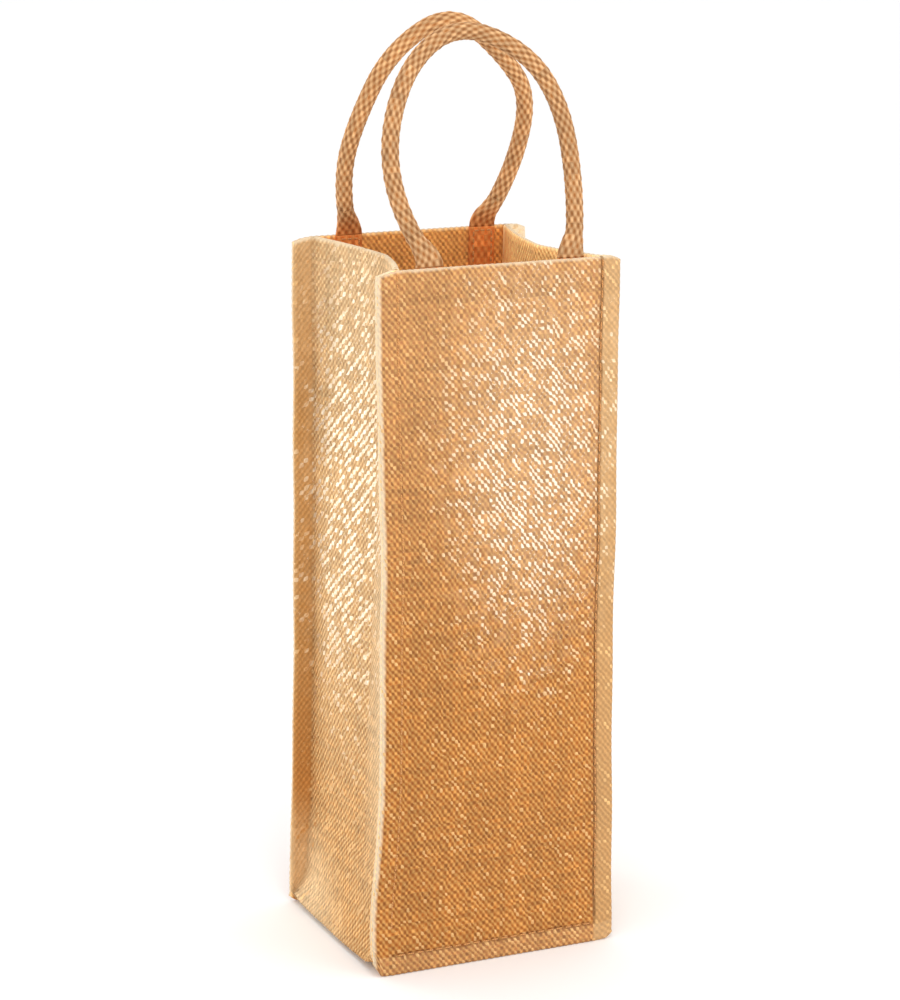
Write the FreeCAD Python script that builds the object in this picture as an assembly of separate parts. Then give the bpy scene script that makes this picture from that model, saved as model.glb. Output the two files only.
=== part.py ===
import FreeCAD, Part

import math
import os

# Wine gift bag for one bottle: laminated jute cloth with outward seams and two covered rope handles.
# Frame: origin on the standing plane at the middle of the bag, +Z up, the front panel faces -Y. All in mm.

# Driving dimensions
HEIGHT = 350.0
CLOTH = 1.15                # one layer of jute cloth
FILM = 0.2                  # the waterproof film inside
FILM_GAP = 0.05             # clearance from the film to the cloth
FILM_TRIM = 1.0             # the panel film stops short of the seam lines
HEM_GAP = 0.5               # the film stops short of the hem
SEAM = 10.0                 # seam allowance that stands out past each line of stitching
HEM = 40.0                  # turned-in top edge
CREASE_Y = -10.0            # the side's centre crease, nearer the front than the back
DOUBLE = 2 * CLOTH          # a turned-in edge is two layers
FLANGE = 4 * CLOTH          # a seam holds two turned-in edges

# Shape up the bag, as (height, half size): the mouth is pinched, the walls belly out and the foot flares
HALF_WIDTH = [(0, 66.0), (30, 66.0), (60, 64.3), (100, 62.5), (200, 62.0), (HEIGHT, 63.8)]
HALF_DEPTH = [(0, 57.0), (30, 55.0), (60, 56.5), (100, 59.0), (200, 58.2), (HEIGHT, 54.3)]
CREASE_X = [(SEAM, 65.4), (52, 51.3), (200, 46.0), (HEIGHT, 41.5)]
SEAM_AT_FOOT = [(SEAM, 9.5), (22, 1.8), (52, 0.0)]      # how far the wall leaves the seam line near the base
LEVELS = [0, SEAM, 22, 30, 52, 60, 100, 200, HEIGHT - HEM, HEIGHT]

# Handles, as rope loops in a plane that leans over the mouth about a level line through both legs
ROPE_R = 4.1                # outside of the woven cover
CORE_R = 2.7
COVER_BORE_R = 2.8
ARC_SHARE = 0.45            # of the shorter run, taken by each bend of the rope
HINGE_Y = 49.8
HINGE_Z = 358.0
TAB_WIDTH = 14.0
TAB_THICK = 2.4
TAB_LENGTH = 34.0
NECK_GAP = 0.3              # clearance from the neck to the round rope
NECK_OVAL = 0.001           # keeps the neck's round end an ellipse with a defined long axis
FRONT_LEAN = 19.0           # degrees from upright
BACK_LEAN = 21.0
FRONT_TABS = (-36.0, 38.0)
BACK_TABS = (-34.0, 39.0)
FRONT_LOOP = [(-42.5, 7), (-50, 24), (-49, 57), (-32, 91), (-4, 107), (29.5, 91.5), (43.5, 64), (44.5, 25.5),
              (41.5, 7)]
BACK_LOOP = [(-37.5, 7), (-42, 25.5), (-39, 54), (-27, 91.5), (2.5, 113), (35, 87), (53, 64), (52, 26),
             (45.5, 7)]

# Stitching
STITCH_PITCH = 5.0
STITCH_LENGTH = 3.4
FIRST_STITCH = 0.7          # of a pitch below the top edge
THREAD = 0.9
THREAD_PROUD = 0.5
THREAD_GAP = 0.05
TAB_STITCH_PITCH = 3.3
TAB_STITCH_LENGTH = 2.4
TAB_STITCH_INSET = 2.0


def at(table, z):
    """The value of a (height, value) table at a height, held level past its ends."""
    if z <= table[0][0]:
        return table[0][1]
    for (z0, v0), (z1, v1) in zip(table, table[1:]):
        if z <= z1:
            return v0 + (v1 - v0) * (z - z0) / (z1 - z0)
    return table[-1][1]


def seam_x(z):
    return at(HALF_WIDTH, z) - SEAM


def wall_x(z):
    """Half the distance between the side walls where they meet the panels."""
    return seam_x(z) + at(SEAM_AT_FOOT, z)


def levels(low, high):
    """The heights where the cloth is sectioned, from low to high."""
    return [low] + [z for z in LEVELS if low < z < high] + [high]


def ring(points, z):
    corners = [FreeCAD.Vector(x, y, z) for x, y in points]
    return Part.makePolygon(corners + corners[:1])


def loft(outline, low, high):
    """A solid through the plan outline at each level, with straight rules between levels."""
    return Part.makeLoft([ring(outline(z), z) for z in levels(low, high)], True, True)


def fused(shapes):
    return shapes[0].multiFuse(shapes[1:]).removeSplitter()


def slab_plan(side, half_x, near, far):
    """A plan outline for cloth that lies along a panel, between two depths in from its outer face."""
    def outline(z):
        face = at(HALF_DEPTH, z)
        y0, y1 = side * (face - near), side * (face - far)
        x = half_x(z)
        return [(-x, y0), (x, y0), (x, y1), (-x, y1)]
    return outline


def panel_plan(side):
    """A panel between hem and foot: one layer, with both side edges turned in to the seam line."""
    def outline(z):
        face = at(HALF_DEPTH, z)
        edge, seam = at(HALF_WIDTH, z), seam_x(z)
        outer, middle, inner = (side * (face - depth) for depth in (0, CLOTH, DOUBLE))
        return [(-edge, outer), (edge, outer), (edge, inner), (seam, inner),
                (seam, middle), (-seam, middle), (-seam, inner), (-edge, inner)]
    return outline


def edge_x(z):
    return at(HALF_WIDTH, z)


def film_x(z):
    return seam_x(z) - FILM_TRIM


def panel(side):
    foot = loft(slab_plan(side, edge_x, 0, DOUBLE), 0, SEAM)
    wall = loft(panel_plan(side), SEAM, HEIGHT - HEM)
    hem = loft(slab_plan(side, edge_x, 0, DOUBLE), HEIGHT - HEM, HEIGHT)
    return fused([foot, wall, hem])


def panel_film(side):
    """The film on a panel's inner face, from the base up to the hem."""
    near = CLOTH + FILM_GAP
    return loft(slab_plan(side, film_x, near, near + FILM), SEAM + CLOTH, HEIGHT - HEM - HEM_GAP)


def side_plan(side, layers):
    """A side wall, folded inwards along its crease, with its edges turned out between the panels' edges."""
    def outline(z):
        edge, wall, crease = at(HALF_WIDTH, z), wall_x(z), at(CREASE_X, z)
        inner = layers * CLOTH
        face = at(HALF_DEPTH, z)
        joint, back = face - DOUBLE, face - FLANGE
        plan = [(edge, -joint), (edge, -back), (wall, -back), (crease, CREASE_Y), (wall, back), (edge, back),
                (edge, joint), (wall - inner, joint), (wall - inner, back), (crease - inner, CREASE_Y),
                (wall - inner, -back), (wall - inner, -joint)]
        return [(side * x, y) for x, y in plan]
    return outline


def gusset_strip():
    """One strip of cloth: down one side, under the bottle and up the other side."""
    pieces = []
    for side in (-1, 1):
        pieces.append(loft(side_plan(side, 1), SEAM, HEIGHT - HEM))
        pieces.append(loft(side_plan(side, 2), HEIGHT - HEM, HEIGHT))
        pieces.append(loft(slab_plan(side, seam_x, DOUBLE, FLANGE), 0, SEAM))
    pieces.append(base_plate(SEAM, CLOTH, DOUBLE, 0.0))
    return fused(pieces)


def base_plate(z, thick, inset, trim):
    """A flat sheet across the foot, short of the panels by an inset and of the side walls by a trim."""
    half_x = wall_x(SEAM) - trim
    half_y = at(HALF_DEPTH, z + thick) - inset
    corner = FreeCAD.Vector(-half_x, -half_y, z)
    return Part.makeBox(2 * half_x, 2 * half_y, thick, corner)


def strip_film():
    """The film on the strip's inner face: both sides and the base, short of the panels."""
    gap = CLOTH + FILM_GAP
    low = SEAM + gap

    def outline_of(side):
        def outline(z):
            wall, crease = wall_x(z) - gap, at(CREASE_X, z) - gap
            back = at(HALF_DEPTH, z) - FLANGE - FILM_GAP
            plan = [(wall, -back), (crease, CREASE_Y), (wall, back),
                    (wall - FILM, back), (crease - FILM, CREASE_Y), (wall - FILM, -back)]
            return [(side * x, y) for x, y in plan]
        return outline

    walls = [loft(outline_of(side), low, HEIGHT - HEM - HEM_GAP) for side in (-1, 1)]
    trim = wall_x(SEAM) - wall_x(low + FILM) + gap
    return fused(walls + [base_plate(low, FILM, FLANGE + FILM_GAP, trim)])


def stitch(centre, along, outward, length):
    """One stitch: a short bar of thread that lies on the cloth."""
    along.normalize()
    across = outward.cross(along)
    across.normalize()
    outward = along.cross(across)
    bar = Part.makeBox(THREAD, THREAD_PROUD, length, FreeCAD.Vector(-THREAD / 2, THREAD_GAP, -length / 2))
    turn = FreeCAD.Matrix(
        across.x, outward.x, along.x, centre.x,
        across.y, outward.y, along.y, centre.y,
        across.z, outward.z, along.z, centre.z,
        0, 0, 0, 1)
    bar.transformShape(turn)
    return bar


def side_seam(panel_side, side):
    """The stitches down one side seam, on the panel's outer face."""
    def point(z):
        return FreeCAD.Vector(side * seam_x(z), panel_side * at(HALF_DEPTH, z), z)

    outward = FreeCAD.Vector(0, panel_side, 0)
    count = int((HEIGHT - 2 * SEAM) / STITCH_PITCH)
    bars = []
    for i in range(count):
        z = HEIGHT - STITCH_PITCH * (i + FIRST_STITCH)
        half = STITCH_LENGTH / 2
        bars.append(stitch(point(z), point(z + half) - point(z - half), outward, STITCH_LENGTH))
    return Part.makeCompound(bars)


def foot_seam(panel_side):
    """The stitches along the bottom seam of a panel."""
    half = seam_x(SEAM) - STITCH_PITCH
    count = int(2 * half / STITCH_PITCH)
    y = panel_side * at(HALF_DEPTH, SEAM)
    outward = FreeCAD.Vector(0, panel_side, 0)
    bars = []
    for i in range(count + 1):
        centre = FreeCAD.Vector(-half + 2 * half * i / count, y, SEAM)
        bars.append(stitch(centre, FreeCAD.Vector(1, 0, 0), outward, STITCH_LENGTH))
    return Part.makeCompound(bars)


def arc_wire(points):
    """Straight runs joined by tangent arcs. Each arc is as large as its two runs allow."""
    edges = []
    last = points[0]
    for before, corner, after in zip(points, points[1:], points[2:]):
        back, ahead = before - corner, after - corner
        run = min(back.Length, ahead.Length)
        cut = ARC_SHARE * run
        turn = math.pi - back.getAngle(ahead)
        start = corner + back * (cut / back.Length)
        end = corner + ahead * (cut / ahead.Length)
        bisector = back * (1 / back.Length) + ahead * (1 / ahead.Length)
        radius = cut / math.tan(turn / 2)
        depth = radius / math.cos(turn / 2) - radius
        middle = corner + bisector * (depth / bisector.Length)
        edges.append(Part.LineSegment(last, start).toShape())
        edges.append(Part.Arc(start, middle, end).toShape())
        last = end
    edges.append(Part.LineSegment(last, points[-1]).toShape())
    return Part.Wire(edges)


def loop_points(route, side, lean):
    """A handle's route in space. It leans from its hinge line over the mouth of the bag."""
    angle = math.radians(lean)
    return [FreeCAD.Vector(x, side * (HINGE_Y - up * math.sin(angle)), HINGE_Z + up * math.cos(angle))
            for x, up in route]


def tube(points, radius):
    path = arc_wire(points)
    direction = points[1] - points[0]
    section = Part.Wire(Part.makeCircle(radius, points[0], direction))
    return path.makePipeShell([section], True, False)


def oval(centre, normal, half_x, half_y):
    """An oval section whose long axis is as near level as its plane allows."""
    normal.normalize()
    across = FreeCAD.Vector(1, 0, 0) - normal * normal.x
    across.normalize()
    ellipse = Part.Ellipse(FreeCAD.Vector(0, 0, 0), half_x, half_y)
    shape = ellipse.toShape()
    up = normal.cross(across)
    shape.transformShape(FreeCAD.Matrix(
        across.x, up.x, normal.x, centre.x,
        across.y, up.y, normal.y, centre.y,
        across.z, up.z, normal.z, centre.z,
        0, 0, 0, 1))
    return Part.Wire(shape)


def tab_depth(z):
    """Distance from the middle plane to the tab's own middle at a height."""
    return at(HALF_DEPTH, z) - DOUBLE - THREAD_GAP - TAB_THICK / 2


def tab(side, x):
    """The flattened end of a handle cover, sewn to the hem's inner face."""
    left, right = x - TAB_WIDTH / 2, x + TAB_WIDTH / 2

    def outline(z):
        outer = side * (tab_depth(z) + TAB_THICK / 2)
        inner = side * (tab_depth(z) - TAB_THICK / 2)
        return [(left, outer), (right, outer), (right, inner), (left, inner)]

    return loft(outline, HEIGHT - TAB_LENGTH, HEIGHT)


def neck(side, x, start, direction):
    """The bend of a handle's end, from the flat tab to the round rope."""
    foot = FreeCAD.Vector(x, side * tab_depth(HEIGHT), HEIGHT)
    top = start - direction * (NECK_GAP / direction.Length)
    middle = (foot + top) * 0.5
    middle.y = side * HINGE_Y
    sections = [
        oval(foot, FreeCAD.Vector(0, 0, 1), TAB_WIDTH / 2, TAB_THICK / 2),
        oval(middle, top - foot, (TAB_WIDTH / 2 + ROPE_R) / 2, (TAB_THICK / 2 + ROPE_R) / 2),
        oval(top, direction, ROPE_R + NECK_OVAL, ROPE_R),
    ]
    return Part.makeLoft(sections, True, False)


def tab_stitches(side, x):
    """A rectangle of stitches round the inside of a tab."""
    half = TAB_WIDTH / 2 - TAB_STITCH_INSET
    top, foot = HEIGHT - TAB_STITCH_INSET, HEIGHT - TAB_LENGTH + TAB_STITCH_INSET
    inward = FreeCAD.Vector(0, -side, 0)

    def point(px, z):
        return FreeCAD.Vector(px, side * (tab_depth(z) - TAB_THICK / 2), z)

    bars = []
    upward = point(x, top) - point(x, foot)
    rows = int((top - foot) / TAB_STITCH_PITCH)
    for i in range(rows):
        z = foot + (top - foot) * (i + 0.5) / rows
        for edge in (-half, half):
            bars.append(stitch(point(x + edge, z), upward, inward, TAB_STITCH_LENGTH))
    columns = int((2 * half) / TAB_STITCH_PITCH)
    for i in range(columns):
        px = x - half + 2 * half * (i + 0.5) / columns
        for z in (top, foot):
            bars.append(stitch(point(px, z), FreeCAD.Vector(1, 0, 0), inward, TAB_STITCH_LENGTH))
    return Part.makeCompound(bars)


def handle(name, side, route, tabs, lean):
    points = loop_points(route, side, lean)
    outer, bore = tube(points, ROPE_R), tube(points, COVER_BORE_R)
    nodes = {
        f"{name}_handle_cover": outer.cut(bore),
        f"{name}_handle_core": tube(points, CORE_R),
    }
    ends = (("left", tabs[0], points[0], points[1] - points[0]),
            ("right", tabs[1], points[-1], points[-2] - points[-1]))
    for end, x, start, direction in ends:
        nodes[f"{name}_handle_{end}_tab"] = tab(side, x)
        nodes[f"{name}_handle_{end}_neck"] = neck(side, x, start, direction)
        nodes[f"{name}_handle_{end}_stitches"] = tab_stitches(side, x)
    return nodes


def build():
    nodes = {
        "front_panel": panel(-1),
        "back_panel": panel(1),
        "gusset_strip": gusset_strip(),
        "front_film": panel_film(-1),
        "back_film": panel_film(1),
        "gusset_film": strip_film(),
    }
    for name, panel_side in (("front", -1), ("back", 1)):
        nodes[f"{name}_left_seam_thread"] = side_seam(panel_side, -1)
        nodes[f"{name}_right_seam_thread"] = side_seam(panel_side, 1)
        nodes[f"{name}_foot_seam_thread"] = foot_seam(panel_side)
    nodes.update(handle("front", -1, FRONT_LOOP, FRONT_TABS, FRONT_LEAN))
    nodes.update(handle("back", 1, BACK_LOOP, BACK_TABS, BACK_LEAN))
    return nodes


os.makedirs("parts", exist_ok=True)
for node, shape in build().items():
    shape.exportStep(f"parts/{node}.step")
    box = shape.optimalBoundingBox()
    spans = [(box.XMin, box.XMax), (box.YMin, box.YMax), (box.ZMin, box.ZMax)]
    print(f"{node:32s} solids {len(shape.Solids):3d} valid {shape.isValid()} volume {shape.Volume:10.1f}")
    print("    " + "  ".join(f"{low:.1f}..{high:.1f}" for low, high in spans))
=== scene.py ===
import math

import bmesh
import bpy
import numpy as np
from mathutils import Matrix, Vector


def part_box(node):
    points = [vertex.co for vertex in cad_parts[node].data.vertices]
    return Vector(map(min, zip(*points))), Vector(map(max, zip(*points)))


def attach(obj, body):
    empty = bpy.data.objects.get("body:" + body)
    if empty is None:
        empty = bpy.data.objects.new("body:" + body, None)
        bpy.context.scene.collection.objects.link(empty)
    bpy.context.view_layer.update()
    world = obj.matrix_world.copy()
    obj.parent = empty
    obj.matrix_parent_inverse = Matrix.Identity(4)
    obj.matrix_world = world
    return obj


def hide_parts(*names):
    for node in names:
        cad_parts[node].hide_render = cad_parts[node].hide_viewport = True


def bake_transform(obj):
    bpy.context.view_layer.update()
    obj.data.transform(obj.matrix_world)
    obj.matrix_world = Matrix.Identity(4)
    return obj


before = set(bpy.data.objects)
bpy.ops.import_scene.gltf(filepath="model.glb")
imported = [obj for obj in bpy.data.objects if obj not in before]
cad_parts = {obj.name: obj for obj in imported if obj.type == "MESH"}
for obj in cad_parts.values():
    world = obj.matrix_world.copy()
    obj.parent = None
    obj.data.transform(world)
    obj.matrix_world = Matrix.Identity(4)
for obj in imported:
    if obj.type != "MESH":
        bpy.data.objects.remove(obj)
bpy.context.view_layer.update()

# Jute gift bag for one wine bottle. Shapes are worked out in millimetres and made in metres.
MM = 0.001

# Driving sizes, the same as the bag's design
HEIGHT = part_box("front_panel")[1].z / MM
CLOTH = 1.15  # one layer of cloth
DOUBLE = 2 * CLOTH  # a turned-in edge
FLANGE = 4 * CLOTH  # a seam holds two turned-in edges
SEAM = 10.0  # seam allowance outside each line of stitching
HEM = 40.0
FILM = 0.2
FILM_GAP = 0.3
CREASE_Y = -10.0
HALF_WIDTH = [(0, 66.0), (30, 66.0), (60, 64.3), (100, 62.5), (200, 62.0), (HEIGHT, 63.8)]
HALF_DEPTH = [(0, 57.0), (30, 55.0), (60, 56.5), (100, 59.0), (200, 58.2), (HEIGHT, 54.3)]
CREASE_X = [(SEAM, 65.4), (52, 51.3), (200, 46.0), (HEIGHT, 41.5)]
SEAM_AT_FOOT = [(SEAM, 9.5), (22, 1.8), (52, 0.0)]
SAG = [(-55.0, 5.8), (-10.0, 7.6), (55.0, 6.8)]  # how far the base hangs, from front to back

# The weave: yarns across and along, counted over each piece of cloth
YARN_ACROSS = 1.57  # pitch of the upright yarns
YARN_ALONG = 1.85  # pitch of the level yarns
WEAVE_RELIEF = 0.17  # height of a yarn's crown over the cloth's middle surface
SLANT = 0.32  # how strongly the crowns join along one diagonal
STRAY = 0.26  # how far a yarn strays, as a share of the pitch
STRAY_RUN = 7.0  # yarns between two bends of a straying yarn
INSIDE = 200.0  # an inner face's places are moved by this many yarns, to tell it apart

PANEL_ACROSS = 82  # yarns
PANEL_UP = 188
MARGIN_YARNS = 6  # the strip's seam allowances, and the two halves of its folded side
FRONT_YARNS = 29
BACK_YARNS = 41
STRIP_KNOTS = np.cumsum([0, MARGIN_YARNS, FRONT_YARNS, BACK_YARNS, MARGIN_YARNS])
SIDE_ROWS = 184
BASE_ROWS = 70

# Handles: control points of each rope's line, from its bend up, in a plane that leans over the mouth
ROPE_R = 4.1
HINGE_Y = 49.8
HINGE_Z = 358.0
TAB_WIDTH = 14.0
TAB_THICK = 2.4
TAB_LENGTH = 34.0
TAB_GAP = 0.05  # from the hem's inner face
FRONT_LEAN = 19.0
BACK_LEAN = 21.0
FRONT_TABS = (-36.0, 38.0)
BACK_TABS = (-34.0, 39.0)
FRONT_LOOP = [(-42.5, 7), (-50, 24), (-49, 57), (-32, 91), (-4, 107), (29.5, 91.5), (43.5, 64), (44.5, 25.5),
              (41.5, 7)]
BACK_LOOP = [(-37.5, 7), (-42, 25.5), (-39, 54), (-27, 91.5), (2.5, 113), (35, 87), (53, 64), (52, 26),
             (45.5, 7)]
ROPE_COLUMNS = 16  # yarns round the rope
ROPE_ROW = 2.95  # pitch of the yarns along it
ROPE_YARN = (1.6, ROPE_ROW)  # a yarn's width and pitch in the drawn weave
ROPE_RELIEF = 0.24
ROPE_SLANT = 0.12
ROPE_STEPS = 4  # points to a yarn

# Stitching
STITCH_PITCH = 5.0
STITCH_LENGTH = 4.3
THREAD_R = 0.42
STITCH_RISE = 0.3  # how far a stitch stands out of its groove
GROOVE = 0.75  # how far the stitching pulls the cloth in
GROOVE_WIDTH = 1.1
LEFT_SEAM_PULL = 0.3  # the left seam is drawn in less than the right one
TAB_STITCH_INSET = 2.0
TAB_STITCH_PITCH = 3.3
TAB_STITCH_LENGTH = 2.9

# Looks: colours in screen values from 0 to 255, tints as factors, places in yarns
SEAM_LINE = 6.0  # from a panel's edge to its side seam
FOOT_LINE = 4.8  # and from its foot to the foot seam
# The glint patches are painted: in them more crowns are metal yarn, painted near white, and the cloth is
# washed paler.
PANEL_GLOW = ((52.0, 138.0), (34.0, 62.0))  # middle and reach of the bright patch
STRIP_GLOW = ((53.0, 64.0), (35.0, 78.0))
YARN_SHIFT = 0.9  # how far the drawn weave strays
# painted light and sheen: the paler colour mixed in where more light falls on the cloth
PALE_LIGHT_COLOUR = (238, 214, 174)
# painted highlight: the cream colour on folded edges and corners
EDGE_HIGHLIGHT_COLOUR = (244, 226, 194)
METAL_DIM = (226, 180, 120)
# painted glints: the metal yarn's colour in the glint patch
METAL_BRIGHT = (252, 242, 220)
# painted shade in the seam grooves
GROOVE_SHADE_TINT = (0.5, 0.42, 0.32)
WARM_TINT = (1.02, 0.88, 0.7)
# painted shade: darker and more orange low on the sides
LOW_SHADE_TINT = (0.95, 0.78, 0.55)
# painted light: the inner faces lie in shade and are painted lighter
INSIDE_LIGHT_TINT = (1.55, 1.45, 1.1)

# The camera: lens in millimetres, angles in degrees, the rest in metres
LENS = 110.0
AZIMUTH = -24.77
ELEVATION = 14.16
ROLL = 0.48
DISTANCE = 1.530
AIM_HEIGHT = 0.175
AIM_ACROSS = -0.0004
AIM_UP = 0.0460

# Floor and light, in metres. Each light has a place, a point it faces, a size and its watts.
FLOOR_HALF = 12.0
FLOOR_WHITE = 0.97
WORLD_LIGHT = 1.04
LIGHTS = {"front_key": ((0.34, -0.62, 0.20), (0.01, -0.06, 0.23), (0.22, 0.32), 0.9),
          "side_key": ((-0.46, 0.50, 0.16), (-0.05, 0.0, 0.20), (0.22, 0.36), 1.0),
          "mouth_fill": ((-0.12, -0.36, 0.78), (0.0, 0.03, 0.34), (0.16, 0.16), 0.8),
          "top_soft": ((-0.5, -0.6, 1.5), (0.0, 0.0, 0.2), (1.0, 1.0), 1.5)}


# ---- shape of the bag

def at(table, z):
    """The value of a (height, value) table at a height, with its corners softened."""
    heights, values = zip(*table)
    spread = (-12.0, -6.0, 0.0, 6.0, 12.0)
    return sum(np.interp(np.asarray(z, float) + d, heights, values) for d in spread) / len(spread)


def half_width(z):
    return at(HALF_WIDTH, z)


def half_depth(z):
    return at(HALF_DEPTH, z)


def seam_x(z):
    return half_width(z) - SEAM


def wall_x(z):
    return seam_x(z) + np.interp(z, *zip(*SEAM_AT_FOOT))


def smooth(low, high, value):
    """0 below low, 1 above high, and a soft step between."""
    t = np.clip((value - low) / (high - low), 0, 1)
    return t * t * (3 - 2 * t)


def soften(grid, axis, passes):
    """Averages each point of a grid with its two neighbours along an axis. The ends stay."""
    grid = np.swapaxes(grid, 0, axis).copy()
    for _ in range(passes):
        grid[1:-1] = 0.25 * grid[:-2] + 0.5 * grid[1:-1] + 0.25 * grid[2:]
    return np.swapaxes(grid, 0, axis)


def settle(points):
    """How sewn cloth sits: long soft waves, and the seam allowances' corners, bent by wear."""
    p = np.array(points, float)
    x, y, z = p[..., 0].copy(), p[..., 1].copy(), p[..., 2].copy()
    free = smooth(4, 40, z) * (1 - smooth(300, 346, z))
    p[..., 0] += free * (0.2 * np.sin(z / 23.0 + y / 31.0) + 0.15 * np.sin(z / 11.0 + 1.3))
    p[..., 1] += free * (0.3 * np.sin(z / 29.0 + x / 19.0) + 0.15 * np.sin(z / 13.0 - x / 9.0 + 0.7))
    out = np.clip((np.abs(x) - seam_x(z)) / SEAM, 0, 1.1) * smooth(34, 50, np.abs(y))
    top = smooth(HEIGHT - 25, HEIGHT, z)
    foot = 1 - smooth(0, 18, z)
    left = x < 0
    front = y < 0
    others_drop = np.where(left, 1.2 * out + 1.2 * out ** 4, 0.4 * out + 2.2 * out ** 5)
    drop = np.where(left & front, 2.6 * out, others_drop)
    lift = np.where(left & front, 7.5 * np.clip(2.1 * out - 1.1, 0, 2), 4.2 * out ** 5)
    p[..., 2] += foot * lift - top * drop
    return p


# ---- meshes

class Skin:
    """Collects a mesh in which each face corner knows its place on the cloth, counted in yarns."""

    def __init__(self):
        self.points = []
        self.faces = []
        self.places = []
        self.count = 0

    def add(self, points):
        """Adds points of any grid shape, and returns their numbers in that shape."""
        points = np.asarray(points, float)
        shape = points.shape[:-1]
        ids = np.arange(self.count, self.count + int(np.prod(shape))).reshape(shape)
        self.points.append(points.reshape(-1, 3))
        self.count += ids.size
        return ids

    def grid(self, ids, place):
        """Quads between neighbouring points."""
        def corners(a):
            return np.stack([a[:-1, :-1], a[1:, :-1], a[1:, 1:], a[:-1, 1:]], axis=2)
        self.faces.extend(corners(ids).reshape(-1, 4).tolist())
        self.places.append(corners(place).reshape(-1, 2))

    def triangles(self, ids, place):
        self.faces.extend(np.asarray(ids).tolist())
        self.places.append(np.asarray(place, float).reshape(-1, 2))

    def fan(self, ring, centre, place):
        """Closes a ring of points with triangles to a middle point."""
        middle = self.add(np.asarray(centre, float)[None])[0]
        around = np.roll(ring, -1)
        faces = np.stack([ring, around, np.full_like(ring, middle)], axis=1)
        self.triangles(faces, np.tile(np.asarray(place, float), (len(ring), 3, 1)))

    def tube(self, points, place, middles):
        """A closed tube through rings of points, with a middle point for each of its two ends."""
        ids = self.add(points)
        self.grid(np.concatenate([ids, ids[:, :1]], axis=1), place)
        for end, middle in zip((0, -1), middles):
            self.fan(ids[end], middle, place[end, 0])

    def make(self, name, material, body="bag"):
        mesh = bpy.data.meshes.new(name)
        points = np.concatenate(self.points)
        points[:, 2] = np.maximum(points[:, 2], 0.0)        # sagging corners lie on the floor, not under it
        mesh.from_pydata((points * MM).tolist(), [], self.faces)
        layer = mesh.uv_layers.new(name="yarns")
        layer.data.foreach_set("uv", np.concatenate(self.places).astype(np.float32).ravel())
        mesh.materials.append(material)
        mesh.polygons.foreach_set("use_smooth", [True] * len(mesh.polygons))
        piece = new_object(name, mesh)
        tidy_normals(mesh)
        if body:
            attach(piece, body)
        return piece


def new_object(name, data):
    holder = bpy.data.objects.new(name, data)
    bpy.context.scene.collection.objects.link(holder)
    return holder


def tidy_normals(mesh):
    work = bmesh.new()
    work.from_mesh(mesh)
    bmesh.ops.recalc_face_normals(work, faces=work.faces)
    work.to_mesh(mesh)
    work.free()


def rim_of(grid):
    """The points round the edge of a grid, in order."""
    return np.concatenate([grid[:-1, 0], grid[-1, :-1], grid[:0:-1, -1], grid[0, :0:-1]])


def stands_for(node):
    """Hides the part of model.glb that a piece stands in for."""
    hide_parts(node)


def core_of(grid):
    """The grid with each edge point moved to its neighbour inside."""
    return np.pad(grid[1:-1, 1:-1], ((1, 1), (1, 1), (0, 0)), mode="edge")


def closed(loop):
    return np.concatenate([loop, loop[:1]])


def unit(vectors):
    return vectors / np.maximum(np.linalg.norm(vectors, axis=-1, keepdims=True), 1e-9)


def slab(skin, outer, inner, outer_place, inner_place):
    """A closed sheet between an outer grid and an inner one with half as many steps, with round edges."""
    outer_ids, inner_ids = skin.add(outer), skin.add(inner)
    inner_place = inner_place + np.array([INSIDE, 0.0])
    skin.grid(outer_ids, outer_place)
    skin.grid(inner_ids, inner_place)
    coarse, coarse_place = rim_of(inner), rim_of(inner_place)
    fine, fine_place = rim_of(outer), rim_of(outer_place)
    far = np.repeat(coarse, 2, axis=0)
    far[1::2] = (coarse + np.roll(coarse, -1, axis=0)) / 2
    half = (fine - far) / 2
    out = fine - rim_of(core_of(outer))
    out = unit(out - unit(half) * np.sum(out * unit(half), axis=1, keepdims=True))
    out_place = np.sign(fine_place - rim_of(core_of(outer_place)))
    radius = np.linalg.norm(half, axis=1, keepdims=True)
    last_ids, last_place = rim_of(outer_ids), fine_place
    for step in (1, 2, 3):
        angle = math.pi * step / 4
        points = (fine + far) / 2 + half * math.cos(angle) + out * radius * math.sin(angle)
        reach = radius * min(angle, math.pi - angle)
        place = fine_place + out_place * reach / np.array([YARN_ACROSS, YARN_ALONG])
        ids = skin.add(points)
        skin.grid(np.stack([closed(last_ids), closed(ids)]), np.stack([closed(last_place), closed(place)]))
        last_ids, last_place = ids, place
    a, b, c = last_ids[0::2], last_ids[1::2], np.roll(last_ids, -2)[0::2]
    d, here = rim_of(inner_ids), coarse_place
    e, there = np.roll(d, -1), np.roll(here, -1, axis=0)
    half_way = (here + there) / 2
    for ids, corners in (((a, b, d), (here, half_way, here)), ((b, e, d), (half_way, there, here)),
                         ((b, c, e), (half_way, there, there))):
        skin.triangles(np.stack(ids, axis=1), np.stack(corners, axis=1))


def places(columns, rows, step_across, step_along):
    """Where each point of a grid lies on the cloth, in yarns."""
    across, along = np.meshgrid(np.arange(columns) * step_across, np.arange(rows) * step_along, indexing="ij")
    return np.stack([across, along], axis=-1)


def weave(place, slant):
    """Height of a plain weave, from -1 to 1. Its crowns join along one diagonal by the slant."""
    a, b = math.pi * place[..., 0], math.pi * place[..., 1]
    return (1 + slant) / 2 * np.cos(a + b) + (1 - slant) / 2 * np.cos(a - b)


def uneven(place, rng):
    """Each yarn is a little thicker or thinner than the next."""
    columns = rng.uniform(0.65, 1.3, int(place[..., 0].max()) + 2)
    rows = rng.uniform(0.65, 1.3, int(place[..., 1].max()) + 2)
    across = np.round(place[..., 0]).astype(int)
    along = np.round(place[..., 1]).astype(int)
    return (columns[across] + rows[along]) / 2


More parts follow.
